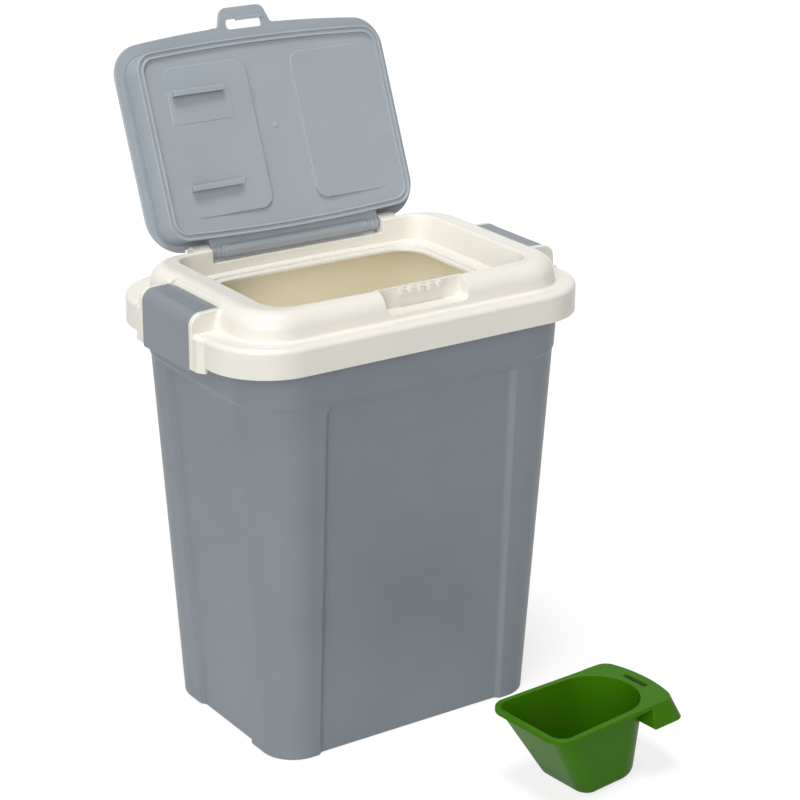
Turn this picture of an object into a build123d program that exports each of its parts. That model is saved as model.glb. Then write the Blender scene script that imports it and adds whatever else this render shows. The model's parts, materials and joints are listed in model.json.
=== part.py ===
from build123d import *

import math
import os

# Lidded storage bin for dry pet food: a tapered body with a removable liner, a collar that two
# side clamps hold on the body's rim, a flap lid on two hinge pins, and a loose scoop.
# The frame: origin at the centre of the bin's underside, +Z up, the catch at -Y, the hinge at +Y
# and the clamps at -X and +X. All sizes are in millimetres. The lid is drawn shut and then
# swung open to its stop.

# Body
wall = 2.6
body_height = 429.7
base_half_x = 152.0
base_half_y = 107.7
base_corner = 35.0
base_edge_round = 2.5
band_height = 57.7
band_step = 1.2
band_slope = 7.0
band_draft_x = 4.9
band_draft_y = 1.7
band_corner_growth = 3.5
rim_half_x = 198.6
rim_half_y = 131.0
rim_corner = 60.5
rim_overhang_x = 15.2
rim_overhang_y = 3.8
rim_lip_depth = 22.2
rim_lip_wall = 2.5

# Recessed panels between the body's corner columns
panel_depth = 4.0
panel_edge_slope = 9.0
panel_edge_proud = 0.3
panel_top_slope = 8.0
front_panel_margin = 15.0
side_panel_margin_base = 28.8
side_panel_margin_top = 20.5

# Liner
liner_wall = 2.0
liner_gap = 2.0
liner_least_gap = 0.1
liner_flange = 2.2
liner_flange_gap = 2.5

# Collar
collar_wall = 2.6
skirt_gap = 1.0
skirt_corner = 64.0
skirt_depth = 28.6
skirt_edge_round = 5.0
hump_height = 26.5
hump_inset_x = 22.2
hump_inset_front = 16.1
hump_inset_back = 20.6
hump_corner = 46.0
hump_draft = 6.0
hump_round = 17.0
hump_foot_round = 3.0
crest_edge_round = 2.4

# Well in the collar, which the lid's plug enters
crest_width_x = 33.0
crest_width_y = 19.2
well_corner_top = 24.0
well_corner_narrowing = 4.0
well_draft_x = 5.5
well_draft_y = 2.2
well_depth = 25.0
well_bow = 5.0
seat_inset_x = 16.5
seat_inset_y = 11.1
seat_corner = 30.0
seat_step = 1.5
mouth_inset_x = 5.5
mouth_inset_y = 8.0
mouth_corner = 28.0
mouth_bow = 3.0

# Catch recess in the front of the collar
recess_x = 8.0
recess_half_x = 46.0
recess_depth = 20.0
recess_corner = 5.0
recess_draft = 2.0
crest_web = 2.2
catch_x = 9.0
catch_length = 48.0
catch_teeth = 5
catch_tooth_width = 5.0
catch_tooth_height = 6.0
catch_tooth_proud = 3.8
catch_drop = 1.2
catch_bar_drop = 2.0

# Hinge
axis_behind_well = 7.7
axis_below_crest = 6.0
pin_radius = 2.5
pin_in_ear = 12.0
pin_end_gap = 0.5
running_gap = 0.08
seated_gap = 0.02
barrel_radius = 8.0
barrel_inset = 49.5
knuckle_length = 14.5
knuckle_step = 1.0
barrel_gap = 1.0
barrel_end_gap = 2.0
web_depth = 12.5
ear_width = 18.5
ear_over_barrel = 0.5
open_angle = 112.4

# Lid
lid_wall = 2.6
plug_gap_x = 3.0
plug_gap_y = 1.0
plug_corner = 19.5
plug_bow = 4.6
plug_depth = 20.0
plug_draft_x = 4.0
plug_draft_y = 0.6
ring_width = 6.5
ring_depth = 2.5
groove_width = 3.3
groove_depth = 1.2
lid_rest_gap = 0.6
flange_over_x = 8.3
flange_over_front = 12.7
flange_over_back = 3.2
flange_corner_front = 32.0
flange_corner_back = 37.0
flange_bow = 9.9
flange_edge_round = 1.0
ear_cut_gap = 1.5
ear_swing_gap = 1.2
seal_height = 1.7
seal_gap = 0.4

# Details on the lid's inner face
pad_rise = 2.6
pad_corner = 13.0
pad_margin_front = 20.6
pad_margin_back = 23.1
left_pad_margin = 25.7
left_pad_width = 92.0
right_pad_margin = 21.7
right_pad_width = 88.0
rail_margin = 59.7
rail_length = 56.0
rail_from_front = 44.1
rail_from_back = 49.6
rail_wall = 1.6
rail_height = 4.6
rail_lip = 5.5
field_margin = 27.7
field_length = 67.0
field_from_front = 45.6
field_width = 31.5
field_rise = 0.3
gate_y = -6.0
gate_radius = 2.8
gate_height = 0.8

# Lid tab
tab_x = -1.2
tab_half_base = 30.6
tab_half_tip = 24.0
tab_reach = 18.7
tab_corner = 9.0
tab_root_round = 4.0
tab_root_sink = 0.4
tab_slot_half = 20.3
tab_slot_width = 10.2
tab_slot_bite = 3.4
tab_slot_corner = 3.6
tab_hook_x = 5.0
tab_hook_half = 14.0
tab_hook_depth = 3.0
tab_hook_wall = 1.8

# Side clamps
clamp_half = 44.0
clamp_side_gap = 0.5
clamp_wall = 2.8
clamp_face_gap = 1.5
clamp_pivot_inset = 22.7
clamp_pivot_below_crest = 13.2
clamp_barrel_radius = 5.7
clamp_pocket_gap = 1.2
clamp_slope = 1.2
clamp_bend = 12.0
clamp_bottom = 8.9
clamp_hook_reach = 3.6
clamp_hook_gap = 0.5
clamp_hook_tip = 1.2
clamp_hook_half = 40.0
clamp_hook_slope = 5.0
stub_radius = 2.5
stub_length = 3.5
stub_end_gap = 0.4
fin_width = 5.5
fin_proud = 0.5
fin_edge_round = 1.2
fin_corner_round = 5.0
cheek_width = 20.0
cheek_drop = 5.9
cheek_slope = 7.5
cheek_round = 4.5
pocket_lean = 5.0
pocket_narrowing = 7.0

# Scoop, drawn along +X from its nose and then set on the floor beside the bin
scoop_nose = (-2.0, -286.0)
scoop_turn = 5.0
scoop_height = 80.0
scoop_wall = 2.2
scoop_rim_start = 4.5
scoop_rim_half_nose = 52.0
scoop_rim_half_rear = 47.0
scoop_nose_corner = 19.0
scoop_bowl_start = 9.5
scoop_bowl_half_nose = 47.0
scoop_bowl_half_rear = 42.5
scoop_bowl_round_from = 99.0
scoop_bowl_end = 140.5
scoop_bowl_corner = 14.0
scoop_base_start = 56.0
scoop_base_half_nose = 36.0
scoop_base_half_rear = 34.5
scoop_base_end = 136.0
scoop_base_corner = 16.0
scoop_base_round = 9.0
scoop_rim_wall = 2.4
scoop_rim_depth = 4.5
scoop_rim_round = 1.0
scoop_handle_end = 154.0
scoop_handle_bulge = 9.0
scoop_handle_corner = 14.0
scoop_handle_start = 126.0
scoop_handle_depth = 23.5
scoop_handle_flare_rear = 11.0
scoop_handle_flare_side = 5.5
scoop_slot_x = 150.0
scoop_slot_length = 31.0
scoop_slot_width = 7.0

# Places that follow from the sizes above
band_half_x = rim_half_x - rim_overhang_x
band_half_y = rim_half_y - rim_overhang_y
band_corner = rim_corner - rim_overhang_y
shoulder_z = body_height - band_height
shoulder_half_x = band_half_x - band_draft_x - band_step
shoulder_half_y = band_half_y - band_draft_y - band_step
shoulder_corner = band_corner - band_corner_growth - band_step
front_panel_half = base_half_x - base_corner - front_panel_margin
side_panel_half_base = base_half_y - base_corner - side_panel_margin_base
side_panel_half_top = shoulder_half_y - shoulder_corner - side_panel_margin_top
liner_rise = shoulder_z / body_height
liner_gap_x = liner_gap + shoulder_half_x - base_half_x - (band_half_x - base_half_x) * liner_rise
liner_gap_y = liner_gap + shoulder_half_y - base_half_y - (band_half_y - base_half_y) * liner_rise
liner_squeeze = max(0, liner_least_gap - min(liner_gap_x, liner_gap_y))
skirt_half_x = rim_half_x + skirt_gap + collar_wall
skirt_half_y = rim_half_y + skirt_gap + collar_wall
ledge_under = body_height + liner_flange
ledge_z = ledge_under + collar_wall
skirt_bottom = ledge_z - skirt_depth
crest_z = ledge_z + hump_height
hump_half_x = skirt_half_x - hump_inset_x
hump_front = skirt_half_y - hump_inset_front
hump_back = skirt_half_y - hump_inset_back
hump_half_y = (hump_front + hump_back) / 2
hump_y = (hump_back - hump_front) / 2
well_top_half_x = hump_half_x - crest_width_x
well_top_half_y = hump_front - crest_width_y
seat_z = crest_z - well_depth
seat_half_x = well_top_half_x - well_draft_x - seat_inset_x
seat_half_y = well_top_half_y - well_draft_y - seat_inset_y
mouth_half_x = seat_half_x - mouth_inset_x
mouth_half_y = seat_half_y - mouth_inset_y
barrel_half = well_top_half_x - barrel_inset
axis_y = well_top_half_y + axis_behind_well
axis_z = crest_z - axis_below_crest
ear_radius = barrel_radius + ear_over_barrel
notch_half = barrel_half + barrel_end_gap
notch_z = axis_z - barrel_radius - barrel_gap
ear_end = notch_half + ear_width
flange_z = crest_z + lid_rest_gap
plug_z = flange_z - plug_depth
pivot_x = skirt_half_x - clamp_pivot_inset
pivot_z = crest_z - clamp_pivot_below_crest
clamp_face = skirt_half_x + clamp_face_gap + clamp_wall
pocket_half = clamp_half + clamp_side_gap
pocket_wall_x = pivot_x - clamp_barrel_radius - clamp_pocket_gap
pocket_floor = pivot_z - clamp_barrel_radius - clamp_pocket_gap
lip_z = body_height - rim_lip_depth
hook_radius = math.hypot(rim_half_x - pivot_x, lip_z - pivot_z) + clamp_hook_gap
recess_back = well_top_half_y + crest_web
inner_face_z = plug_z + ring_depth
plug_share = (crest_z - plug_z) / well_depth
plug_half_x = well_top_half_x - well_draft_x * plug_share - plug_gap_x
plug_half_y = well_top_half_y - well_draft_y * plug_share - plug_gap_y
flange_half_x = well_top_half_x + flange_over_x
flange_front = well_top_half_y + flange_over_front
flange_back = well_top_half_y + flange_over_back
pad_front = plug_half_y - pad_margin_front
pad_back = plug_half_y - pad_margin_back
rail_x = rail_margin - plug_half_x
tab_tip = -flange_front - tab_reach
tab_slot_start = tab_slot_bite - flange_front
clear_away = 60.0


def outline(half_x, half_y, radius, bow=0.0):
    """Rectangle with round corners, whose long sides bulge outward by bow."""
    side = half_y - bow
    if bow == 0:
        return RectangleRounded(2 * half_x, 2 * half_y, radius)
    right = Line((half_x, -side), (half_x, side))
    back = ThreePointArc((half_x, side), (0, half_y), (-half_x, side))
    left = Line((-half_x, side), (-half_x, -side))
    front = ThreePointArc((-half_x, -side), (0, -half_y), (half_x, -side))
    face = make_face([right, back, left, front])
    return fillet(face.vertices(), radius)


def prism(sketch, low, high):
    """The sketch pulled up from low to high."""
    return extrude(Pos(0, 0, low) * sketch, amount=high - low)


def tapered(*sections):
    """Straight-sided solid through (height, sketch) pairs."""
    return loft([Pos(0, 0, height) * sketch for height, sketch in sections], ruled=True)


def block(x0, x1, y0, y1, z0, z1):
    """Box between two corners."""
    corner = (Align.MIN, Align.MIN, Align.MIN)
    return Pos(x0, y0, z0) * Box(x1 - x0, y1 - y0, z1 - z0, align=corner)


def both_sides(shape):
    """The shape and its mirror image across the YZ plane."""
    return shape + mirror(shape, about=Plane.YZ)


def rod(radius, x0, x1, y, z):
    """Cylinder along X."""
    return Pos((x0 + x1) / 2, y, z) * Rot(0, 90, 0) * Cylinder(radius, abs(x1 - x0))


def swing_open(shape):
    """Turn a shape drawn on the shut lid to the open stop."""
    return shape.rotate(Axis((0, axis_y, axis_z), (1, 0, 0)), -open_angle)


def column_outline(z, inset):
    """Section through the corner columns at height z."""
    share = z / shoulder_z
    half_x = base_half_x + (shoulder_half_x - base_half_x) * share
    half_y = base_half_y + (shoulder_half_y - base_half_y) * share
    corner = base_corner + (shoulder_corner - base_corner) * share
    return outline(half_x - inset, half_y - inset, corner - inset)


def panel_outline(half, plane):
    """Plan of one front panel's recess, open outward, with a soft bend at each side."""
    outer = half + panel_edge_slope
    deep = plane + panel_depth + panel_edge_proud
    bends = []
    for side in (-1, 1):
        ends = ((side * half, -plane), (side * outer, -deep))
        bends.append(Spline(*ends, tangents=[(side, 0), (side, 0)]))
    panel = Line((-half, -plane), (half, -plane))
    outside = Polyline(
        (outer, -deep), (outer, -deep - clear_away), (-outer, -deep - clear_away), (-outer, -deep)
    )
    return make_face([*bends, panel, outside])


def panel_recess(turn, half_base, half_top, plane_base, plane_top, inset):
    """What is cut away to sink a panel on the side that turn names."""
    top = shoulder_z - band_slope / 2
    sections = []
    for z, sink in ((0, panel_depth), (top - panel_top_slope, panel_depth), (top, -panel_edge_proud)):
        share = z / shoulder_z
        half = half_base + (half_top - half_base) * share + inset
        plane = plane_base + (plane_top - plane_base) * share - sink - inset
        sections.append((z, panel_outline(half, plane)))
    return Rot(0, 0, turn) * tapered(*sections)


def body_form(inset, floor):
    """The body's filled form up to its rim, shrunk by inset on every wall."""
    form = tapered((floor, column_outline(floor, inset)), (shoulder_z, column_outline(shoulder_z, inset)))
    step = inset - band_step
    low = outline(shoulder_half_x - step, shoulder_half_y - step, shoulder_corner - step)
    high = outline(band_half_x - inset, band_half_y - inset, band_corner - inset)
    start = shoulder_z - band_slope
    form += tapered((start, column_outline(start, inset + band_step)), (shoulder_z, low), (body_height, high))
    for turn in (0, 180):
        form -= panel_recess(turn, front_panel_half, front_panel_half, base_half_y, shoulder_half_y, inset)
    for turn in (90, 270):
        form -= panel_recess(
            turn, side_panel_half_base, side_panel_half_top, base_half_x, shoulder_half_x, inset
        )
    return form


def make_body():
    """Tapered bin with sunk panels, an upper band and a turned-down rim."""
    form = body_form(0, 0)
    form = fillet(form.edges().group_by(Axis.Z)[0], base_edge_round)
    rim = prism(outline(rim_half_x, rim_half_y, rim_corner), body_height - rim_lip_depth, body_height)
    hollow = outline(rim_half_x - rim_lip_wall, rim_half_y - rim_lip_wall, rim_corner - rim_lip_wall)
    rim -= prism(hollow, body_height - rim_lip_depth, body_height - wall)
    cavity = body_form(wall, wall)
    return form + rim - cavity


def liner_outline(z, inset):
    """Section through the liner at height z, inside the body's panels."""
    share = z / body_height
    room = wall + liner_gap + liner_squeeze + inset
    half_x = base_half_x - panel_depth + (band_half_x - base_half_x) * share
    half_y = base_half_y - panel_depth + (band_half_y - base_half_y) * share
    corner = base_corner + (band_corner - base_corner) * share
    return outline(half_x - room, half_y - room, corner - room)


def make_liner():
    """Thin bucket that hangs by its flange on the body's rim."""
    low = wall + liner_gap
    bucket = tapered((low, liner_outline(low, 0)), (body_height, liner_outline(body_height, 0)))
    bucket = fillet(bucket.edges().group_by(Axis.Z)[0], base_edge_round)
    flange = outline(
        rim_half_x - liner_flange_gap, rim_half_y - liner_flange_gap, rim_corner - liner_flange_gap
    )
    bucket += prism(flange, body_height, ledge_under)
    low += liner_wall
    inner = tapered(
        (low, liner_outline(low, liner_wall)), (ledge_under, liner_outline(ledge_under, liner_wall))
    )
    return bucket - inner


def hump_form(inset, bottom):
    """Rounded ring block above the ledge, without its well."""
    form = Pos(0, hump_y, bottom) * outline(hump_half_x - inset, hump_half_y - inset, hump_corner - inset)
    form = extrude(form, amount=crest_z - inset - bottom, taper=hump_draft)
    return fillet(form.edges().group_by(Axis.Z)[-1], hump_round - inset)


def well_outline(z, grow):
    """Section through the well at height z."""
    share = (crest_z - z) / well_depth
    half_x = well_top_half_x - well_draft_x * share
    half_y = well_top_half_y - well_draft_y * share
    corner = well_corner_top - well_corner_narrowing * share
    return outline(half_x + grow, half_y + grow, corner + grow, well_bow)


def well_form(grow, bottom):
    """Tapered block of the well from bottom to just above the crest."""
    top = crest_z + lid_rest_gap
    return tapered((bottom, well_outline(bottom, grow)), (top, well_outline(top, grow)))


def crest_edges(collar):
    """Edges where the well's wall meets the crest."""
    line = well_outline(crest_z, 0).wires()[0]
    found = []
    for edge in collar.edges():
        middle = edge @ 0.5
        if middle.Z > crest_z - 1 and line.distance_to(Vector(middle.X, middle.Y, 0)) < 0.3:
            found.append(edge)
    return found


def foot_edges(collar):
    """Edges where the hump rises from the ledge."""
    inside = skirt_half_x - skirt_edge_round - 1
    found = []
    for edge in collar.edges():
        middle = edge @ 0.5
        if abs(middle.Z - ledge_z) < 0.01 and abs(middle.X) < inside:
            if abs(middle.Y) < skirt_half_y - skirt_edge_round - 1:
                found.append(edge)
    return found


def hump_slice(x0, x1, y0, y1, low, high):
    """The part of the filled hump inside a box, which closes the hump's hollow there."""
    return hump_form(0, ledge_under) & block(x0, x1, y0, y1, low, high)


def clamp_line(set_back, bottom):
    """Outer line of the side clamp in the XZ plane, from its barrel over the bend and down."""
    start = (pivot_x + 1, pivot_z + clamp_barrel_radius - set_back)
    bend = (clamp_face - set_back, pivot_z + clamp_barrel_radius - clamp_slope - set_back)
    return FilletPolyline(start, bend, (bend[0], bottom), radius=clamp_bend - set_back)


def across(face, y0, y1):
    """A face drawn as (x, z), pulled along Y from y0 to y1."""
    return extrude(Plane.XZ.offset(-y0) * face, amount=y0 - y1)


def fin_form():
    """Housing wall beside a clamp, from the hump over the ledge and down the skirt."""
    bottom = skirt_bottom - cheek_drop
    top = pivot_z + clamp_barrel_radius + fin_proud
    inner = skirt_half_x - collar_wall
    edge = clamp_line(-fin_proud, bottom)
    back = Polyline(
        (clamp_face + fin_proud, bottom),
        (inner, bottom),
        (inner, ledge_under),
        (pocket_wall_x, ledge_under),
        (pocket_wall_x, top),
        (pivot_x + 1, top),
    )
    face = make_face([edge, back])
    fin = across(face, pocket_half, pocket_half + fin_width)
    end = pocket_half + fin_width
    outer = [e for e in fin.edges() if (e @ 0.5).X > skirt_half_x + 1 and abs((e @ 0.5).Y - end) < 0.01]
    return fillet([e for e in outer if (e @ 0.5).Z > bottom + 1], fin_edge_round)


def hump_side(z):
    """Half length of the hump at height z, with its rounded top."""
    lean = math.radians(hump_draft)
    start = crest_z - hump_round
    side = hump_half_x - (z - ledge_under) * math.tan(lean)
    if z <= start:
        return side
    centre = hump_half_x - (start - ledge_under) * math.tan(lean) - hump_round / math.cos(lean)
    return min(side, centre + math.sqrt(hump_round**2 - (z - start) ** 2))


def fin_corner():
    """Hollow corner that leads the fin's outer side into the hump."""
    r = fin_corner_round
    side = pocket_half + fin_width
    top = pivot_z + clamp_barrel_radius + fin_proud
    start = crest_z - hump_round
    sections = []
    for z in (ledge_under, start, (2 * start + top) / 3, (start + 2 * top) / 3, top):
        x = hump_side(z)
        dip = r * (1 - math.sqrt(0.5))
        hollow = ThreePointArc((x + r, side), (x + dip, side + dip), (x, side + r))
        back = Polyline((x, side + r), (x - 1, side + r), (x - 1, side - 1), (x + r, side - 1), (x + r, side))
        sections.append((z, make_face([hollow, back])))
    return tapered(*sections)


def cheek_form():
    """Raised block on the skirt beyond a fin."""
    start = pocket_half
    end = pocket_half + cheek_width
    inner = skirt_half_x - collar_wall
    points = [(inner, start), (clamp_face, start), (clamp_face, end - cheek_slope), (skirt_half_x, end)]
    points.append((inner, end))
    form = prism(make_face(Polyline(*points, close=True)), skirt_bottom - cheek_drop, ledge_z)
    top = form.edges().group_by(Axis.Z)[-1]
    outer = [e for e in top if (e @ 0.5).X > skirt_half_x + 0.1]
    return fillet(outer, cheek_round)


def housing_form():
    """Fins, cheeks and the filled stretch of hump round the right clamp."""
    side = fin_form() + fin_corner() + cheek_form()
    side += mirror(side, about=Plane.XZ)
    width = pocket_half + fin_width
    return side + hump_slice(pocket_wall_x - collar_wall, skirt_half_x, -width, width, ledge_under, crest_z)


def pocket_cut():
    """Room for the right clamp: the pocket in the hump, the stub pins' bores and the hook's way."""
    shelf = pivot_z + clamp_barrel_radius - 1
    top = crest_z + lid_rest_gap
    room = block(pocket_wall_x, clamp_face + clear_away, -pocket_half, pocket_half, pocket_floor, top)
    width = 2 * pocket_half
    height = top - shelf
    facing = {"x_dir": (0, 1, 0), "z_dir": (1, 0, 0)}
    near = Plane(origin=(pocket_wall_x, 0, (shelf + top) / 2), **facing)
    high = Plane(origin=(pocket_wall_x - pocket_lean, 0, top - lid_rest_gap / 2), **facing)
    wall_face = near * Rectangle(width, height)
    crest_line = high * Rectangle(width - 2 * pocket_narrowing, lid_rest_gap)
    room += loft([wall_face, crest_line], ruled=True)
    reach = clamp_half + stub_length + stub_end_gap
    room += across(Pos(pivot_x, pivot_z) * Circle(stub_radius + running_gap), -reach, reach)
    rise = math.sqrt((hook_radius - clamp_hook_gap) ** 2 - clamp_pivot_inset**2)
    slot_top = pivot_z - rise + clamp_hook_gap
    inner = rim_half_x + skirt_gap - 1
    low = skirt_bottom - clear_away
    return room + block(inner, clamp_face + clear_away, -pocket_half, pocket_half, low, slot_top)


def recess_cut():
    """Finger recess in front of the crest, with round corners and drafted walls."""
    height = 2 * recess_depth
    plane = Plane(origin=(recess_x, -recess_back, crest_z), x_dir=(1, 0, 0), z_dir=(0, -1, 0))
    face = plane * RectangleRounded(2 * recess_half_x, height, recess_corner)
    return extrude(face, amount=clear_away, taper=-recess_draft)


def catch_form():
    """Toothed strip on the recess's back wall, which the lid's tab snaps over."""
    top = crest_z - catch_drop
    bottom = top - catch_tooth_height
    left = catch_x - catch_length / 2
    back = -recess_back + 1
    strip = block(
        left, left + catch_length, -recess_back - catch_tooth_proud / 2, back, bottom, top - catch_bar_drop
    )
    pitch = (catch_length - catch_tooth_width) / (catch_teeth - 1)
    for index in range(catch_teeth):
        x = left + index * pitch
        strip += block(x, x + catch_tooth_width, -recess_back - catch_tooth_proud, back, bottom, top)
    return strip


def ear_form():
    """Right hinge ear: a filled stretch of hump with a round top about the hinge axis."""
    ear = hump_slice(notch_half, ear_end, axis_y - ear_radius, hump_back + 1, ledge_under, crest_z)
    return ear + rod(ear_radius, notch_half, ear_end, axis_y, axis_z)


def make_collar():
    """Ring that covers the body's rim, with the hump, the well, the seat and the hinge ears."""
    skirt = prism(outline(skirt_half_x, skirt_half_y, skirt_corner), skirt_bottom, ledge_z)
    skirt = fillet(skirt.edges().group_by(Axis.Z)[-1], skirt_edge_round)
    collar = skirt + hump_form(0, ledge_under)
    collar = fillet(foot_edges(collar), hump_foot_round)
    collar -= well_form(0, seat_z)
    collar = fillet(crest_edges(collar), crest_edge_round)

    under = outline(rim_half_x + skirt_gap, rim_half_y + skirt_gap, skirt_corner - collar_wall)
    collar -= prism(under, skirt_bottom, ledge_under)
    collar -= hump_form(collar_wall, ledge_under) - well_form(collar_wall, ledge_under)
    seat = outline(seat_half_x, seat_half_y, seat_corner, mouth_bow)
    grown = outline(
        seat_half_x + collar_wall, seat_half_y + collar_wall, seat_corner + collar_wall, mouth_bow
    )
    collar -= prism(seat, seat_z - seat_step, seat_z)
    collar -= prism(well_outline(seat_z, 0), ledge_under, seat_z - collar_wall) - prism(
        grown, ledge_under, seat_z
    )
    mouth = outline(mouth_half_x, mouth_half_y, mouth_corner, mouth_bow)
    collar -= prism(mouth, ledge_under - collar_wall, seat_z)

    floor = hump_slice(-notch_half, notch_half, 0, hump_back + 1, notch_z - collar_wall, notch_z)
    collar += floor - well_form(0, ledge_under)
    collar += both_sides(ear_form() - well_form(0, ledge_under))
    behind = hump_back + clear_away
    collar -= block(-notch_half, notch_half, seat_half_y, behind, notch_z, crest_z + clear_away)
    collar -= both_sides(
        rod(pin_radius + seated_gap, notch_half - 1, notch_half + pin_in_ear + pin_end_gap, axis_y, axis_z)
    )

    collar += both_sides(housing_form() - well_form(0, ledge_under))
    collar -= both_sides(pocket_cut())

    reach = recess_half_x + collar_wall
    front = hump_slice(
        recess_x - reach, recess_x + reach, -hump_front - 1, -seat_half_y, ledge_under, crest_z
    )
    collar += front - well_form(0, ledge_under)
    collar -= recess_cut()
    under_recess = crest_z - recess_depth - collar_wall
    collar -= block(
        recess_x - recess_half_x,
        recess_x + recess_half_x,
        -hump_front + 2 * collar_wall,
        -recess_back - collar_wall,
        ledge_under - 1,
        under_recess,
    )
    return collar + catch_form()


def plug_outline(z, grow):
    """Section through the lid's plug at height z, drawn inside the well."""
    rise = (z - plug_z) / plug_depth
    half_x = plug_half_x + plug_draft_x * rise
    half_y = plug_half_y + plug_draft_y * rise
    return outline(half_x + grow, half_y + grow, plug_corner + grow, plug_bow)


def flange_form():
    """The lid's rim plate, without the stretch that the hinge takes."""
    side = flange_front - flange_bow
    sides = Polyline(
        (flange_half_x, -side),
        (flange_half_x, flange_back),
        (-flange_half_x, flange_back),
        (-flange_half_x, -side),
    )
    front = ThreePointArc((-flange_half_x, -side), (0, -flange_front), (flange_half_x, -side))
    plate = make_face([sides, front])
    plate = fillet([v for v in plate.vertices() if v.Y < 0], flange_corner_front)
    plate = fillet([v for v in plate.vertices() if v.Y > flange_back - 1], flange_corner_back)
    form = prism(plate, flange_z, flange_z + lid_wall)
    form = fillet(form.edges().group_by(Axis.Z)[0] + form.edges().group_by(Axis.Z)[-1], flange_edge_round)
    clear = math.sqrt((ear_radius + ear_swing_gap) ** 2 - (flange_z - axis_z) ** 2)
    end = ear_end + ear_cut_gap
    ear = block(barrel_half, end, axis_y - clear, axis_y + clear_away, flange_z - 1, flange_z + clear_away)
    return form - both_sides(ear)


def tab_form():
    """Finger tab at the lid's front, with hollow corners where it leaves the flange."""
    edge = tab_root_sink - flange_front
    root = flange_bow - flange_front
    wide = tab_half_base + 2 * tab_root_round
    half = [(wide, root), (wide, edge), (tab_half_base, edge), (tab_half_tip, tab_tip)]
    points = half + [(-x, y) for x, y in reversed(half)]
    face = make_face(Polyline(*points, close=True))
    face = fillet([v for v in face.vertices() if v.Y < tab_tip + 1], tab_corner)
    roots = [v for v in face.vertices() if abs(v.Y - edge) < 0.01 and abs(v.X) < wide - 1]
    face = fillet(roots, tab_root_round)
    return Pos(tab_x, 0, 0) * prism(face, flange_z, flange_z + lid_wall)


def tab_slot():
    """Slot through the tab and the flange's front edge."""
    middle = Pos(tab_x, tab_slot_start - tab_slot_width / 2)
    plan = middle * RectangleRounded(2 * tab_slot_half, tab_slot_width, tab_slot_corner)
    return prism(plan, flange_z - 1, flange_z + lid_wall + 1)


def tab_hook():
    """Lip along the slot's outer edge, which hangs down towards the catch."""
    outer = tab_slot_start - tab_slot_width - 1
    inner = tab_slot_start - tab_slot_width + tab_hook_wall
    x0 = tab_hook_x - tab_hook_half
    return block(x0, x0 + 2 * tab_hook_half, outer, inner, flange_z - tab_hook_depth, flange_z + lid_wall)


def pad_form(low, high):
    """Raised pad on the inner face, level with the face at x = low and highest at x = high."""
    middle = Pos((low + high) / 2, (pad_back - pad_front) / 2)
    plan = middle * RectangleRounded(abs(high - low), pad_front + pad_back, pad_corner)
    form = prism(plan, inner_face_z - pad_rise, inner_face_z + lid_wall / 2)
    below = inner_face_z - clear_away
    points = [(low, inner_face_z), (low, below), (high, below), (high, inner_face_z - pad_rise)]
    wedge = make_face(Polyline(*points, close=True))
    return form - across(wedge, -pad_front - clear_away, pad_back + clear_away)


def rail_form(y, side):
    """Small lipped rail; its lip points along Y to the side given."""
    base = inner_face_z + lid_wall / 2
    low = inner_face_z - pad_rise - rail_height
    x0 = rail_x - rail_length / 2
    x1 = rail_x + rail_length / 2
    wall_y = sorted((y, y + side * rail_wall))
    lip_y = sorted((y, y + side * rail_lip))
    form = block(x0, x1, wall_y[0], wall_y[1], low, base)
    form += block(x0, x1, lip_y[0], lip_y[1], low, low + rail_wall)
    for x in (x0, x1 - rail_wall):
        form += block(x, x + rail_wall, lip_y[0], lip_y[1], low, base)
    return form


def seal_form():
    """Soft ring round the root of the plug, which wipes the well's mouth."""
    low = flange_z - seal_height
    outer = tapered((low, well_outline(low, -seal_gap)), (flange_z, well_outline(flange_z, -seal_gap)))
    inner = tapered((plug_z, plug_outline(plug_z, 0)), (flange_z + 1, plug_outline(flange_z + 1, 0)))
    return outer - inner


def make_lid():
    """Flap lid with a drafted plug, a sunk tray, pads, rails, a tab and the hinge barrel."""
    top = flange_z + lid_wall
    lid = tapered((plug_z, plug_outline(plug_z, 0)), (flange_z + 1, plug_outline(flange_z + 1, 0)))
    lid += flange_form()
    floor = inner_face_z + lid_wall
    lid -= tapered((floor, plug_outline(floor, -lid_wall)), (top + 1, plug_outline(top + 1, -lid_wall)))
    ring = plug_outline(plug_z, 0)
    inside = plug_outline(plug_z, -ring_width)
    lid -= prism(inside, plug_z, inner_face_z)
    side = (ring_width - groove_width) / 2
    groove = plug_outline(plug_z, -side) - plug_outline(plug_z, -side - groove_width)
    lid -= prism(groove, plug_z, plug_z + groove_depth)
    start = left_pad_margin - plug_half_x
    left = pad_form(start, start + left_pad_width)
    x0 = field_margin - plug_half_x
    y0 = field_from_front - plug_half_y
    field = Pos(0, 0, -field_rise) * left
    field = field & block(x0, x0 + field_length, y0, y0 + field_width, plug_z - field_rise, inner_face_z)
    end = plug_half_x - right_pad_margin
    lid += left + field + pad_form(end, end - right_pad_width)
    lid += rail_form(rail_from_front - plug_half_y, 1) + rail_form(plug_half_y - rail_from_back, -1)
    lid += Pos(0, gate_y, inner_face_z) * Cylinder(gate_radius, 2 * gate_height)
    barrel = rod(barrel_radius, knuckle_length - barrel_half, barrel_half - knuckle_length, axis_y, axis_z)
    barrel += rod(barrel_radius - knuckle_step, -barrel_half, barrel_half, axis_y, axis_z)
    core = tapered((plug_z, plug_outline(plug_z, -1)), (top, plug_outline(top, -1)))
    web = block(-barrel_half, barrel_half, 0, axis_y, flange_z - web_depth, top) - core - seal_form()
    lid += barrel + web + tab_form()
    lid -= tab_slot()
    lid += tab_hook()
    bore = barrel_half - knuckle_length - pin_end_gap
    lid -= both_sides(rod(pin_radius + running_gap, bore, barrel_half + 1, axis_y, axis_z))
    return swing_open(lid)


def make_seal():
    """The seal at the open stop."""
    return swing_open(seal_form())


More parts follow.
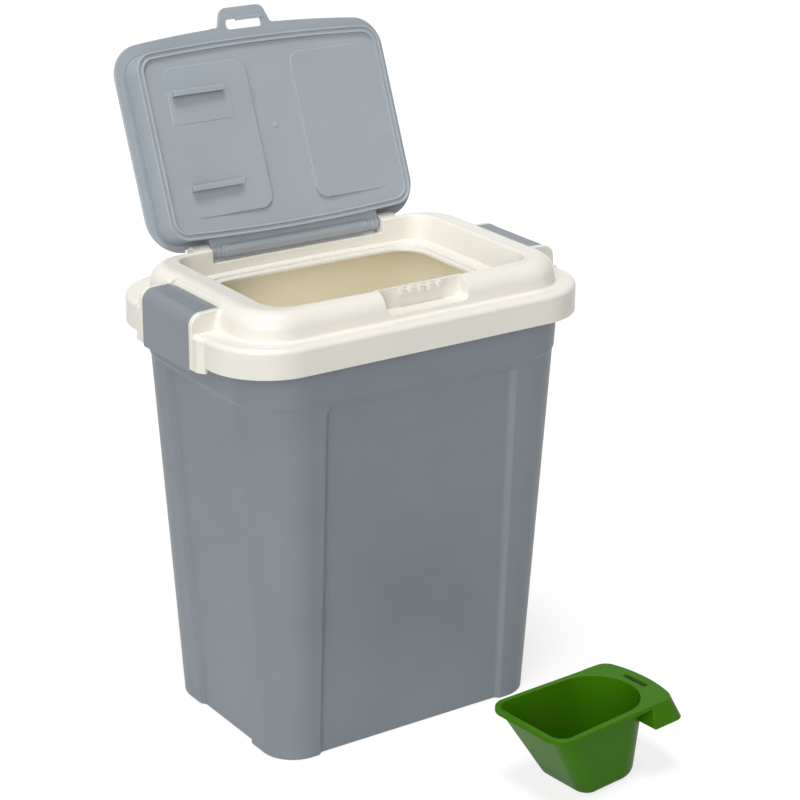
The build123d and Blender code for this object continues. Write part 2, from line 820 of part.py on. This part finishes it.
def make_pin():
    """Right hinge pin, seated in its ear and free in the lid's barrel."""
    return rod(pin_radius, barrel_half - knuckle_length, notch_half + pin_in_ear, axis_y, axis_z)


def make_clamp():
    """Right side clamp: bent plate, barrel, stub pins and the hook that grips the body's rim."""
    bottom = skirt_bottom - clamp_bottom
    outer = clamp_line(0, bottom)
    inner = clamp_line(clamp_wall, bottom)
    face = make_face([outer, Line(outer @ 1, inner @ 1), inner, Line(inner @ 0, outer @ 0)])
    clamp = across(face, -clamp_half, clamp_half)
    centre = Pos(pivot_x, pivot_z)
    clamp += across(centre * Circle(clamp_barrel_radius), -clamp_half, clamp_half)
    reach = clamp_half + stub_length
    clamp += across(centre * Circle(stub_radius), -reach, reach)

    plate_x = clamp_face - clamp_wall / 2
    tip_x = rim_half_x - clamp_hook_reach
    tip = (tip_x, pivot_z - math.sqrt(hook_radius**2 - (tip_x - pivot_x) ** 2))
    root = (plate_x, pivot_z - math.sqrt(hook_radius**2 - (plate_x - pivot_x) ** 2))
    turn = math.atan2(tip[1] + root[1] - 2 * pivot_z, tip[0] + root[0] - 2 * pivot_x)
    middle = (pivot_x + hook_radius * math.cos(turn), pivot_z + hook_radius * math.sin(turn))
    under = Polyline(
        root,
        (plate_x, tip[1] - clamp_hook_tip - clamp_hook_slope),
        (tip_x, tip[1] - clamp_hook_tip),
        tip,
    )
    hook = make_face([ThreePointArc(tip, middle, root), under])
    return clamp + across(hook, -clamp_hook_half, clamp_hook_half)


def scoop_section(start, half_nose, half_rear, end, corner):
    """Plan of the bowl: square nose and a round rear."""
    turn = scoop_bowl_round_from
    nose = Line((start, -half_nose), (start, half_nose))
    left = Line((start, half_nose), (turn, half_rear))
    rear = ThreePointArc((turn, half_rear), (end, 0), (turn, -half_rear))
    right = Line((turn, -half_rear), (start, -half_nose))
    face = make_face([nose, left, rear, right])
    noses = [v for v in face.vertices() if v.X < start + 1]
    return fillet(noses, corner)


def bowl_form(inset, floor):
    """Filled bowl, shrunk by inset and cut off below floor, with a round foot."""
    low = scoop_section(
        scoop_base_start + inset,
        scoop_base_half_nose - inset,
        scoop_base_half_rear - inset,
        scoop_base_end - inset,
        scoop_base_corner,
    )
    high = scoop_section(
        scoop_bowl_start - scoop_wall + inset,
        scoop_bowl_half_nose + scoop_wall - inset,
        scoop_bowl_half_rear + scoop_wall - inset,
        scoop_bowl_end + scoop_wall - inset,
        scoop_bowl_corner,
    )
    form = tapered((floor, low), (scoop_height, high))
    return fillet(form.edges().group_by(Axis.Z)[0], scoop_base_round - inset)


def scoop_rim(inset, flare_rear=0.0, flare_side=0.0):
    """Plan of the rim and the handle plate, which the two flares let out round the handle."""
    start = scoop_rim_start + inset
    end = scoop_handle_end + flare_rear - inset
    rear = scoop_rim_half_rear + flare_side - inset
    front = scoop_rim_half_nose + flare_side - inset
    nose = Line((start, -front), (start, front))
    left = Line((start, front), (end, rear))
    arc = ThreePointArc((end, rear), (end + scoop_handle_bulge, 0), (end, -rear))
    right = Line((end, -rear), (start, -front))
    face = make_face([nose, left, arc, right])
    face = fillet([v for v in face.vertices() if v.X < start + 1], scoop_nose_corner)
    return fillet([v for v in face.vertices() if v.X > end - 1 and abs(v.Y) > rear - 1], scoop_handle_corner)


def handle_skirt(inset):
    """Filled form under the handle plate, which widens downwards, shrunk by inset on every wall."""
    low = scoop_rim(inset, scoop_handle_flare_rear, scoop_handle_flare_side)
    form = tapered((scoop_height - scoop_handle_depth, low), (scoop_height, scoop_rim(inset)))
    beyond = scoop_handle_end + clear_away
    return form & block(scoop_handle_start + inset, beyond, -clear_away, clear_away, 0, scoop_height)


def make_scoop():
    """Measuring scoop with a flat rim, a skirted handle and a slot to hang it by."""
    low = scoop_height - scoop_rim_wall
    rim = prism(scoop_rim(0), scoop_height - scoop_rim_depth, scoop_height)
    rim = fillet(rim.edges().group_by(Axis.Z)[-1], scoop_rim_round)
    rim += handle_skirt(0)
    room = prism(scoop_rim(scoop_rim_wall), scoop_height - scoop_rim_depth, low)
    room &= block(0, scoop_handle_start, -clear_away, clear_away, 0, low)
    room += split(handle_skirt(scoop_rim_wall), Plane.XY.offset(low), keep=Keep.BOTTOM)
    scoop = rim - room + bowl_form(0, 0)
    scoop -= bowl_form(scoop_wall, scoop_wall)
    slot = Pos(scoop_slot_x, 0, 0) * Rot(0, 0, 90) * SlotOverall(scoop_slot_length, scoop_slot_width)
    scoop -= prism(slot, low - 1, scoop_height + 1)
    return Pos(scoop_nose[0], scoop_nose[1], 0) * Rot(0, 0, scoop_turn) * scoop


def main():
    """Write one file for each piece."""
    os.makedirs("parts", exist_ok=True)
    pin = make_pin()
    clamp = make_clamp()
    pieces = {
        "bin_body": make_body(),
        "inner_liner": make_liner(),
        "collar": make_collar(),
        "lid": make_lid(),
        "lid_seal": make_seal(),
        "hinge_pin_left": mirror(pin, about=Plane.YZ),
        "hinge_pin_right": pin,
        "clamp_left": mirror(clamp, about=Plane.YZ),
        "clamp_right": clamp,
        "scoop": make_scoop(),
    }
    for name, piece in pieces.items():
        export_step(piece, f"parts/{name}.step")


if __name__ == "__main__":
    main()
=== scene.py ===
import json
import math

import bmesh
import bpy
from mathutils import Matrix, Vector


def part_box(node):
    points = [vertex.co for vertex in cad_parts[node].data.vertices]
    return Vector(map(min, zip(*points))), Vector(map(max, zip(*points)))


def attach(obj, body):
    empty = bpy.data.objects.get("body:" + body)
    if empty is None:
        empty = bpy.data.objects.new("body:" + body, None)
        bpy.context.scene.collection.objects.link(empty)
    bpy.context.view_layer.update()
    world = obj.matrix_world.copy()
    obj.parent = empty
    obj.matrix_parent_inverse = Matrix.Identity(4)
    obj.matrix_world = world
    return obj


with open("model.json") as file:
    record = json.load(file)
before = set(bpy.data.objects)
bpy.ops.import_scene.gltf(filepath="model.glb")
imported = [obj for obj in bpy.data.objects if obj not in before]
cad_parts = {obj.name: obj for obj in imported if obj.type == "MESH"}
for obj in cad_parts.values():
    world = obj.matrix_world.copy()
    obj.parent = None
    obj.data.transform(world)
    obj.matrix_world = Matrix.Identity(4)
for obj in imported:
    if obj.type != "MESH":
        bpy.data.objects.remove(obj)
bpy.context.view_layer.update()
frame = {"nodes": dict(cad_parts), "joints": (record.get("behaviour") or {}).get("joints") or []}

bl_info = {
    "name": "Pet Food Bin Finish",
    "version": (1, 0, 0),
    "blender": (4, 5, 0),
    "location": "View3D > Sidebar > Food Bin",
    "description": "Finishes the moulded pieces of a lidded dry food bin and sets up its studio",
    "category": "Object",
}

MM = 0.001
SIDES = ("left", "right")
WHITE = (1, 1, 1, 1)

# Camera: the photograph is square, and its focal length is given in its own pixels.
PHOTO_PIXELS = 800
SENSOR_WIDTH = 36.0
CLIP_NEAR = 0.1
CLIP_FAR = 50.0

# Floor: half its length, how bright it has to show, a little over white, and the least light
# that the lamps lay on it away from the object.
FLOOR_REACH = 6.0
FLOOR_SHOWS = 1.05
FLOOR_LIT = 0.9

# Ribs of the hinge barrel: where they stand along a knuckle, as shares of its length, and
# the steps round each rib and round its section.
KNUCKLE_RIBS = (0.12, 0.5, 0.88)
RIB_STEPS = 64
SECTION_STEPS = 12

# Noise stays mostly between these two values, so the drift runs from one to the other.
NOISE_LOW = 0.3
NOISE_HIGH = 0.7

# Sheen: the share by which roughness drifts either way, and its patches in one slow wave.
# A roughness that drifts across 0.274 renders with pale flakes, so each stays clear of it.
SHEEN_DRIFT = 0.08
SHEEN_PATCHES = 4

# Painted edge highlight: how solid the piece is behind a spot where the painted highlight
# starts and where it is full, how many times paler it gets, and the samples that find the
# edge and round it.
HIGHLIGHT_STARTS = 0.95
HIGHLIGHT_FULL = 0.55
HIGHLIGHT_PALER = 2
EDGE_SAMPLES = 4
ROUND_SAMPLES = 6

# Waxy plastic: how far light goes in, and the shares of that for red, green and blue.
WAX_DEPTH = 3 * MM
WAX_SPREAD = (1.0, 0.7, 0.45)


def colour_property(name, description, value):
    """Colour that a user can change, as linear red, green and blue."""
    return bpy.props.FloatVectorProperty(
        name=name, description=description, subtype="COLOR", size=3, min=0.0, max=1.0,
        default=value,
    )


def length_property(name, description, value):
    """Length that a user can change, in metres."""
    return bpy.props.FloatProperty(
        name=name, description=description, unit="LENGTH", subtype="DISTANCE", min=0.0,
        default=value,
    )


def share_property(name, description, value):
    """Share from nothing to all that a user can change."""
    return bpy.props.FloatProperty(
        name=name, description=description, min=0.0, max=1.0, default=value
    )


def strength_property(name, description, value):
    """Strength of a light that a user can change."""
    return bpy.props.FloatProperty(name=name, description=description, min=0.0, default=value)


def angle_property(name, description, degrees):
    """Angle that a user can change, kept in radians."""
    return bpy.props.FloatProperty(
        name=name, description=description, subtype="ANGLE", default=math.radians(degrees)
    )


def vector_property(name, description, subtype, value):
    """Point, direction or pair of lengths that a user can change."""
    return bpy.props.FloatVectorProperty(
        name=name, description=description, subtype=subtype, size=len(value), default=value
    )


class FoodBinPlastic(bpy.types.PropertyGroup):
    """Colours and surface of the moulded plastics."""

    body_colour: colour_property("Body", "Slate grey of the tapered body", (0.220, 0.250, 0.277))
    lid_colour: colour_property("Lid", "Paler slate grey of the flap lid", (0.330, 0.370, 0.406))
    # The clamps' slate grey is their own colour, set a little darker than the body's grey as
    # painted shade on their outward faces.
    clamp_colour: colour_property("Clamps", "Slate grey of the side clamps", (0.205, 0.235, 0.262))
    collar_colour: colour_property("Collar", "Cream of the collar", (0.795, 0.768, 0.695))
    liner_colour: colour_property("Liner", "Warm cream of the liner", (0.86, 0.79, 0.62))
    seal_colour: colour_property("Seal", "Grey of the soft seal", (0.250, 0.280, 0.310))
    pin_colour: colour_property("Pins", "Grey of the hinge pins", (0.120, 0.135, 0.150))
    scoop_colour: colour_property("Scoop", "Leaf green of the scoop", (0.045, 0.165, 0.002))
    grain: length_property("Grain", "Size of the mould's fine satin grain", 0.6 * MM)
    grain_depth: length_property("Grain depth", "Depth of the satin grain", 0.006 * MM)
    ripple: length_property("Ripple", "Size of the slow waves in a moulded wall", 60 * MM)
    ripple_depth: length_property("Ripple depth", "Depth of the slow waves", 0.12 * MM)
    edge_round: length_property("Edge round", "Radius on every sharp moulded edge", 0.8 * MM)
    # Painted highlight: a paler line painted along the outer edges, where they catch the light.
    edge_highlight: share_property(
        "Painted edge highlight", "How far handling has bleached the outer edges", 0.45
    )
    edge_highlight_width: length_property("Painted edge highlight width", "Width of that paler line", 0.9 * MM)
    knuckle_length: length_property(
        "Knuckle length", "Length of each end of the hinge barrel", 14.5 * MM
    )
    knuckle_radius: length_property("Knuckle radius", "Radius of the barrel's ends", 7.0 * MM)
    knuckle_rib: length_property("Knuckle rib", "Thickness of the round ribs there", 1.5 * MM)


class FoodBinStage(bpy.types.PropertyGroup):
    """Camera, floor and lamps."""

    yaw: angle_property("Yaw", "How far the camera stands round to the right of the front", -34.2)
    pitch: angle_property("Pitch", "How far the camera looks down", 20.3)
    roll: angle_property("Roll", "Tilt of the camera", 0.3)
    distance: length_property("Distance", "From the camera to the point it aims at", 2.4161)
    aim: vector_property("Aim", "Point the camera looks at", "TRANSLATION", (0.0565, 0.0, 0.3027))
    focal_pixels: bpy.props.FloatProperty(
        name="Focal length", description="Focal length in pixels of the square picture",
        default=2412.5,
    )
    floor_colour: colour_property(
        "Floor", "Pale floor, as it lights the object", (0.62, 0.62, 0.62)
    )
    floor_shadow: share_property(
        "Floor shadow", "How dark the object's shadow looks on the floor", 0.30
    )
    sky: strength_property("Sky", "Strength of the even light from all round", 0.12)
    key: strength_property("Key", "Strength of the soft light from above", 2.05)
    key_from: vector_property(
        "Key direction", "Direction the soft light comes from", "DIRECTION", (-0.15, -0.10, 0.98)
    )
    key_softness: angle_property(
        "Key softness", "How wide the soft light looks from the object", 22
    )
    side: strength_property("Side", "Strength of the wide soft light from the front left", 2.05)
    side_from: vector_property(
        "Side direction", "Direction the wide soft light comes from", "DIRECTION",
        (-0.70, -0.62, 0.35),
    )
    side_softness: angle_property(
        "Side softness", "How wide that light looks from the object", 60
    )
    fill: bpy.props.FloatProperty(
        name="Fill", description="Power of the small lamp inside the liner", unit="POWER",
        min=0.0, default=0.14,
    )
    fill_at: vector_property(
        "Fill place", "Middle of the lamp inside the liner", "TRANSLATION", (-0.05, -0.02, 0.33)
    )
    fill_from: vector_property(
        "Fill direction", "Direction that lamp's light comes from", "DIRECTION",
        (-0.90, -0.30, -0.15),
    )
    fill_size: vector_property(
        "Fill size", "Length and width of that lamp", "XYZ_LENGTH", (0.12, 0.10)
    )


def add_object(name, data):
    """New object in the scene that holds this mesh, lamp or camera."""
    thing = bpy.data.objects.new(name, data)
    bpy.context.scene.collection.objects.link(thing)
    return thing


def shining_from(direction):
    """Turn of a lamp whose light comes from this direction."""
    return Vector(direction).to_track_quat("Z", "Y").to_matrix().to_4x4()


def empty_tree(owner):
    """Node tree of a new material or world, with nothing in it yet."""
    owner.use_nodes = True
    owner.node_tree.nodes.clear()
    return owner.node_tree


def node_of(tree, kind, **values):
    """New shader node; each value is set on the input socket of that name."""
    node = tree.nodes.new(kind)
    for key, value in values.items():
        node.inputs[key.replace("_", " ")].default_value = value
    return node


def noise(tree, place, size, detail, roughness):
    """Noise on the piece itself, with waves of this size."""
    pattern = node_of(
        tree, "ShaderNodeTexNoise", Scale=1 / size, Detail=detail, Roughness=roughness
    )
    tree.links.new(place, pattern.inputs["Vector"])
    return pattern.outputs["Fac"]


def relief(tree, height, depth, normal):
    """Surface that this height pattern raises by up to this depth."""
    bump = node_of(tree, "ShaderNodeBump", Strength=1.0, Distance=depth)
    tree.links.new(height, bump.inputs["Height"])
    tree.links.new(normal, bump.inputs["Normal"])
    return bump.outputs["Normal"]


def drifting_colour(tree, pattern, colour, mottle):
    """Colour that drifts a little lighter and darker with the pattern."""
    tone = tree.nodes.new("ShaderNodeValToRGB")
    low, high = tone.color_ramp.elements
    low.position = NOISE_LOW
    low.color = (*(channel * (1 - mottle) for channel in colour), 1.0)
    high.position = NOISE_HIGH
    high.color = (*(min(1.0, channel * (1 + mottle)) for channel in colour), 1.0)
    tree.links.new(pattern, tone.inputs["Fac"])
    return tone.outputs["Color"]


def paint_edge_highlight(tree, base, colour, highlight_share, width):
    """The base colour, with a painted highlight: a paler line along the piece's outer edges."""
    edge = node_of(tree, "ShaderNodeAmbientOcclusion", Distance=width)
    edge.samples = EDGE_SAMPLES
    edge.inside = True
    edge.only_local = True
    highlighted = node_of(
        tree, "ShaderNodeMapRange", From_Min=HIGHLIGHT_STARTS, From_Max=HIGHLIGHT_FULL, To_Max=highlight_share
    )
    tree.links.new(edge.outputs["AO"], highlighted.inputs["Value"])
    highlighted_colour = tree.nodes.new("ShaderNodeMix")
    highlighted_colour.data_type = "RGBA"
    # Colour of the painted highlight: the piece's own colour made paler.
    pale = [min(1.0, channel * HIGHLIGHT_PALER) for channel in colour]
    highlighted_colour.inputs["B"].default_value = (*pale, 1.0)
    tree.links.new(highlighted.outputs["Result"], highlighted_colour.inputs["Factor"])
    tree.links.new(base, highlighted_colour.inputs["A"])
    return highlighted_colour.outputs["Result"]


def drifting_sheen(tree, pattern, roughness):
    """Roughness that drifts a little either way with the pattern."""
    sheen = node_of(
        tree, "ShaderNodeMapRange", From_Min=NOISE_LOW, From_Max=NOISE_HIGH,
        To_Min=roughness * (1 - SHEEN_DRIFT), To_Max=roughness * (1 + SHEEN_DRIFT),
    )
    tree.links.new(pattern, sheen.inputs["Value"])
    return sheen.outputs["Result"]


def moulded(name, colour, roughness, mottle=0.03, wax=0.0, gloss=0.5):
    """Moulded plastic: rounded edges with a painted highlight along the outer ones, slow waves
    of the wall, satin grain and a faint drift of colour and sheen."""
    plastic = bpy.context.scene.food_bin_plastic
    material = bpy.data.materials.new(name)
    tree = empty_tree(material)
    link = tree.links.new
    out = tree.nodes.new("ShaderNodeOutputMaterial")
    shader = node_of(tree, "ShaderNodeBsdfPrincipled", Specular_IOR_Level=gloss)
    if wax:
        shader.inputs["Subsurface Weight"].default_value = wax
        shader.inputs["Subsurface Radius"].default_value = WAX_SPREAD
        shader.inputs["Subsurface Scale"].default_value = WAX_DEPTH
    place = tree.nodes.new("ShaderNodeTexCoord").outputs["Object"]

    drift = noise(tree, place, plastic.ripple, detail=3.0, roughness=0.5)
    base = drifting_colour(tree, drift, colour, mottle)
    # Painted highlight along the outer edges, mixed into the base colour.
    highlighted = paint_edge_highlight(tree, base, colour, plastic.edge_highlight, plastic.edge_highlight_width)
    link(highlighted, shader.inputs["Base Color"])

    patches = noise(tree, place, plastic.ripple / SHEEN_PATCHES, detail=4.0, roughness=0.6)
    link(drifting_sheen(tree, patches, roughness), shader.inputs["Roughness"])

    rounded = node_of(tree, "ShaderNodeBevel", Radius=plastic.edge_round)
    rounded.samples = ROUND_SAMPLES
    grain = noise(tree, place, plastic.grain, detail=2.0, roughness=0.5)
    satin = relief(tree, grain, plastic.grain_depth, rounded.outputs["Normal"])
    wave = noise(tree, place, plastic.ripple, detail=1.0, roughness=0.4)
    link(relief(tree, wave, plastic.ripple_depth, satin), shader.inputs["Normal"])
    link(shader.outputs["BSDF"], out.inputs["Surface"])
    return material


def dress(node, material):
    """Give a fixed piece its finish."""
    piece = frame["nodes"][node]
    piece.data.materials.clear()
    piece.data.materials.append(material)


def turned_rib(name, place, radius, thickness):
    """Round rib about a line along X: a ring whose section is a circle."""
    half = thickness / 2
    rings = []
    mesh = bmesh.new()
    for step in range(RIB_STEPS):
        turn = math.tau * step / RIB_STEPS
        ring = []
        for point in range(SECTION_STEPS):
            lean = math.tau * point / SECTION_STEPS
            reach = radius + half * math.cos(lean)
            along = half * math.sin(lean)
            at = Vector((along, reach * math.cos(turn), reach * math.sin(turn)))
            ring.append(mesh.verts.new(at + Vector(place)))
        rings.append(ring)
    for near, far in zip(rings, rings[1:] + rings[:1]):
        for point in range(SECTION_STEPS):
            after = (point + 1) % SECTION_STEPS
            face = mesh.faces.new((near[point], near[after], far[after], far[point]))
            face.smooth = True
    bmesh.ops.recalc_face_normals(mesh, faces=mesh.faces)
    data = bpy.data.meshes.new(name)
    mesh.to_mesh(data)
    mesh.free()
    return add_object(name, data)


def add_knuckle_ribs(material):
    """Round ribs on both ends of the hinge barrel, which turn with the lid."""
    plastic = bpy.context.scene.food_bin_plastic
    hinge = next(joint for joint in frame["joints"] if joint["name"] == "lid_hinge")
    _, axis_y, axis_z = hinge["pos_m"]
    for side in SIDES:
        low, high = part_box(f"hinge_pin_{side}")
        inner = min(abs(low[0]), abs(high[0]))
        for number, share in enumerate(KNUCKLE_RIBS, 1):
            reach = inner + share * plastic.knuckle_length
            place = (math.copysign(reach, low[0] + high[0]), axis_y, axis_z)
            name = f"knuckle_rib_{side}_{number}"
            rib = turned_rib(name, place, plastic.knuckle_radius, plastic.knuckle_rib)
            rib.data.materials.append(material)
            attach(rib, "lid")


class FOODBIN_OT_body(bpy.types.Operator):
    """Finish the tapered body"""

    bl_idname = "food_bin.body"
    bl_label = "Bin Body"

    def execute(self, context):
        colour = context.scene.food_bin_plastic.body_colour
        dress("bin_body", moulded("body plastic", colour, roughness=0.42, gloss=0.35))
        return {"FINISHED"}


class FOODBIN_OT_liner(bpy.types.Operator):
    """Finish the cream liner inside the body"""

    bl_idname = "food_bin.liner"
    bl_label = "Liner"

    def execute(self, context):
        colour = context.scene.food_bin_plastic.liner_colour
        dress("inner_liner", moulded("liner plastic", colour, roughness=0.45, wax=0.1))
        return {"FINISHED"}


class FOODBIN_OT_collar(bpy.types.Operator):
    """Finish the cream collar with its well, seat and housings"""

    bl_idname = "food_bin.collar"
    bl_label = "Collar"

    def execute(self, context):
        colour = context.scene.food_bin_plastic.collar_colour
        dress("collar", moulded("collar plastic", colour, roughness=0.24, mottle=0.015))
        return {"FINISHED"}


class FOODBIN_OT_lid(bpy.types.Operator):
    """Finish the flap lid and its seal, and add the ribs of its hinge barrel"""

    bl_idname = "food_bin.lid"
    bl_label = "Lid"

    def execute(self, context):
        plastic = context.scene.food_bin_plastic
        material = moulded("lid plastic", plastic.lid_colour, roughness=0.30)
        dress("lid", material)
        add_knuckle_ribs(material)
        dress("lid_seal", moulded("seal rubber", plastic.seal_colour, roughness=0.6))
        return {"FINISHED"}


class FOODBIN_OT_hinge_pins(bpy.types.Operator):
    """Finish the two hinge pins"""

    bl_idname = "food_bin.hinge_pins"
    bl_label = "Hinge Pins"

    def execute(self, context):
        colour = context.scene.food_bin_plastic.pin_colour
        material = moulded("pin plastic", colour, roughness=0.4)
        for side in SIDES:
            dress(f"hinge_pin_{side}", material)
        return {"FINISHED"}


class FOODBIN_OT_clamps(bpy.types.Operator):
    """Finish the two side clamps"""

    bl_idname = "food_bin.clamps"
    bl_label = "Side Clamps"

    def execute(self, context):
        colour = context.scene.food_bin_plastic.clamp_colour
        material = moulded("clamp plastic", colour, roughness=0.4)
        for side in SIDES:
            dress(f"clamp_{side}", material)
        return {"FINISHED"}


class FOODBIN_OT_scoop(bpy.types.Operator):
    """Finish the measuring scoop"""

    bl_idname = "food_bin.scoop"
    bl_label = "Scoop"

    def execute(self, context):
        colour = context.scene.food_bin_plastic.scoop_colour
        dress("scoop", moulded("scoop plastic", colour, roughness=0.34, gloss=0.05))
        return {"FINISHED"}


def soft_light(name, strength, side, softness):
    """Wide even light that lies the same on the whole floor."""
    data = bpy.data.lights.new(name, "SUN")
    data.energy = strength
    data.angle = softness
    add_object(name, data).matrix_world = shining_from(side)


def liner_light(stage):
    """Small lamp inside the liner, unseen itself, that lights the walls under the mouth."""
    data = bpy.data.lights.new("liner_light", "AREA")
    data.shape = "RECTANGLE"
    data.size, data.size_y = stage.fill_size
    data.energy = stage.fill
    lamp = add_object("liner_light", data)
    lamp.matrix_world = shining_from(stage.fill_from)
    lamp.location = stage.fill_at
    lamp.visible_camera = False
    lamp.visible_glossy = False


def make_camera(stage):
    """Camera at the photograph's angle, distance and focal length."""
    yaw, pitch = stage.yaw, stage.pitch
    level = math.cos(pitch)
    back = Vector((math.sin(yaw) * level, -math.cos(yaw) * level, math.sin(pitch)))
    right = Vector((0, 0, 1)).cross(back).normalized()
    up = back.cross(right)
    turned_right = right * math.cos(stage.roll) + up * math.sin(stage.roll)
    turned_up = up * math.cos(stage.roll) - right * math.sin(stage.roll)
    data = bpy.data.cameras.new("photo_camera")
    data.sensor_width = SENSOR_WIDTH
    data.lens = stage.focal_pixels / PHOTO_PIXELS * data.sensor_width
    data.clip_start = CLIP_NEAR
    data.clip_end = CLIP_FAR
    camera = add_object("photo_camera", data)
    turn = Matrix((turned_right, turned_up, back)).transposed().to_4x4()
    camera.matrix_world = Matrix.Translation(Vector(stage.aim) + back * stage.distance) @ turn
    bpy.context.scene.camera = camera


def seen_directly(tree):
    """Socket that is 1 for camera, glossy and transmission rays and 0 for the rest."""
    rays = tree.nodes.new("ShaderNodeLightPath")
    shiny = tree.nodes.new("ShaderNodeMath")
    shiny.operation = "MAXIMUM"
    tree.links.new(rays.outputs["Is Glossy Ray"], shiny.inputs[0])
    tree.links.new(rays.outputs["Is Transmission Ray"], shiny.inputs[1])
    seen = tree.nodes.new("ShaderNodeMath")
    seen.operation = "MAXIMUM"
    tree.links.new(rays.outputs["Is Camera Ray"], seen.inputs[0])
    tree.links.new(shiny.outputs[0], seen.inputs[1])
    return seen.outputs[0]


def split_rays(tree, unseen, seen, out):
    """Let one shader light the scene, and let the other be seen."""
    mix = tree.nodes.new("ShaderNodeMixShader")
    tree.links.new(seen_directly(tree), mix.inputs[0])
    tree.links.new(unseen.outputs[0], mix.inputs[1])
    tree.links.new(seen.outputs[0], mix.inputs[2])
    tree.links.new(mix.outputs[0], out.inputs["Surface"])


def make_sky(stage):
    """White all round to the eye, and an even softer light on the object."""
    world = bpy.data.worlds.new("studio")
    bpy.context.scene.world = world
    tree = empty_tree(world)
    out = tree.nodes.new("ShaderNodeOutputWorld")
    light = node_of(tree, "ShaderNodeBackground", Color=WHITE, Strength=stage.sky)
    white = node_of(tree, "ShaderNodeBackground", Color=WHITE, Strength=1.0)
    split_rays(tree, light, white, out)


def make_floor(stage):
    """Plain pale floor that keeps the object's shadow."""
    reach = FLOOR_REACH
    mesh = bpy.data.meshes.new("floor")
    corners = [(-reach, -reach, 0), (reach, -reach, 0), (reach, reach, 0), (-reach, reach, 0)]
    mesh.from_pydata(corners, [], [(0, 1, 2, 3)])
    floor = add_object("floor", mesh)
    material = bpy.data.materials.new("pale floor")
    tree = empty_tree(material)
    out = tree.nodes.new("ShaderNodeOutputMaterial")
    dim = stage.floor_shadow
    strength = FLOOR_SHOWS - FLOOR_LIT * dim
    matt = node_of(tree, "ShaderNodeBsdfDiffuse", Color=(*stage.floor_colour, 1))
    shade = node_of(tree, "ShaderNodeBsdfDiffuse", Color=(dim, dim, dim, 1))
    glow = node_of(tree, "ShaderNodeEmission", Color=WHITE, Strength=strength)
    both = tree.nodes.new("ShaderNodeAddShader")
    tree.links.new(shade.outputs[0], both.inputs[0])
    tree.links.new(glow.outputs[0], both.inputs[1])
    split_rays(tree, matt, both, out)
    mesh.materials.append(material)


class FOODBIN_OT_stage(bpy.types.Operator):
    """Set up the floor, the lamps and the camera"""

    bl_idname = "food_bin.stage"
    bl_label = "Studio"

    def execute(self, context):
        stage = context.scene.food_bin_stage
        make_camera(stage)
        make_sky(stage)
        make_floor(stage)
        soft_light("key_light", stage.key, stage.key_from, stage.key_softness)
        soft_light("side_light", stage.side, stage.side_from, stage.side_softness)
        liner_light(stage)
        context.scene.view_settings.view_transform = "Standard"
        return {"FINISHED"}


PIECES = (
    FOODBIN_OT_body,
    FOODBIN_OT_liner,
    FOODBIN_OT_collar,
    FOODBIN_OT_lid,
    FOODBIN_OT_hinge_pins,
    FOODBIN_OT_clamps,
    FOODBIN_OT_scoop,
    FOODBIN_OT_stage,
)


class FOODBIN_PT_panel(bpy.types.Panel):
    """Sidebar list of the pieces, with their colours and sizes"""

    bl_idname = "FOODBIN_PT_panel"
    bl_label = "Food Bin"
    bl_space_type = "VIEW_3D"
    bl_region_type = "UI"
    bl_category = "Food Bin"

    def draw(self, context):
        for piece in PIECES:
            self.layout.operator(piece.bl_idname)
        for group in (context.scene.food_bin_plastic, context.scene.food_bin_stage):
            for name in group.__annotations__:
                self.layout.prop(group, name)


CLASSES = (FoodBinPlastic, FoodBinStage, *PIECES, FOODBIN_PT_panel)


def register():
    for cls in CLASSES:
        bpy.utils.register_class(cls)
    bpy.types.Scene.food_bin_plastic = bpy.props.PointerProperty(type=FoodBinPlastic)
    bpy.types.Scene.food_bin_stage = bpy.props.PointerProperty(type=FoodBinStage)


def unregister():
    del bpy.types.Scene.food_bin_stage
    del bpy.types.Scene.food_bin_plastic
    for cls in reversed(CLASSES):
        bpy.utils.unregister_class(cls)


def main():
    """Register the add-on and make every piece in order."""
    register()
    bpy.ops.food_bin.body()
    bpy.ops.food_bin.liner()
    bpy.ops.food_bin.collar()
    bpy.ops.food_bin.lid()
    bpy.ops.food_bin.hinge_pins()
    bpy.ops.food_bin.clamps()
    bpy.ops.food_bin.scoop()
    bpy.ops.food_bin.stage()
    bpy.context.view_layer.update()


if __name__ == "__main__":
    main()
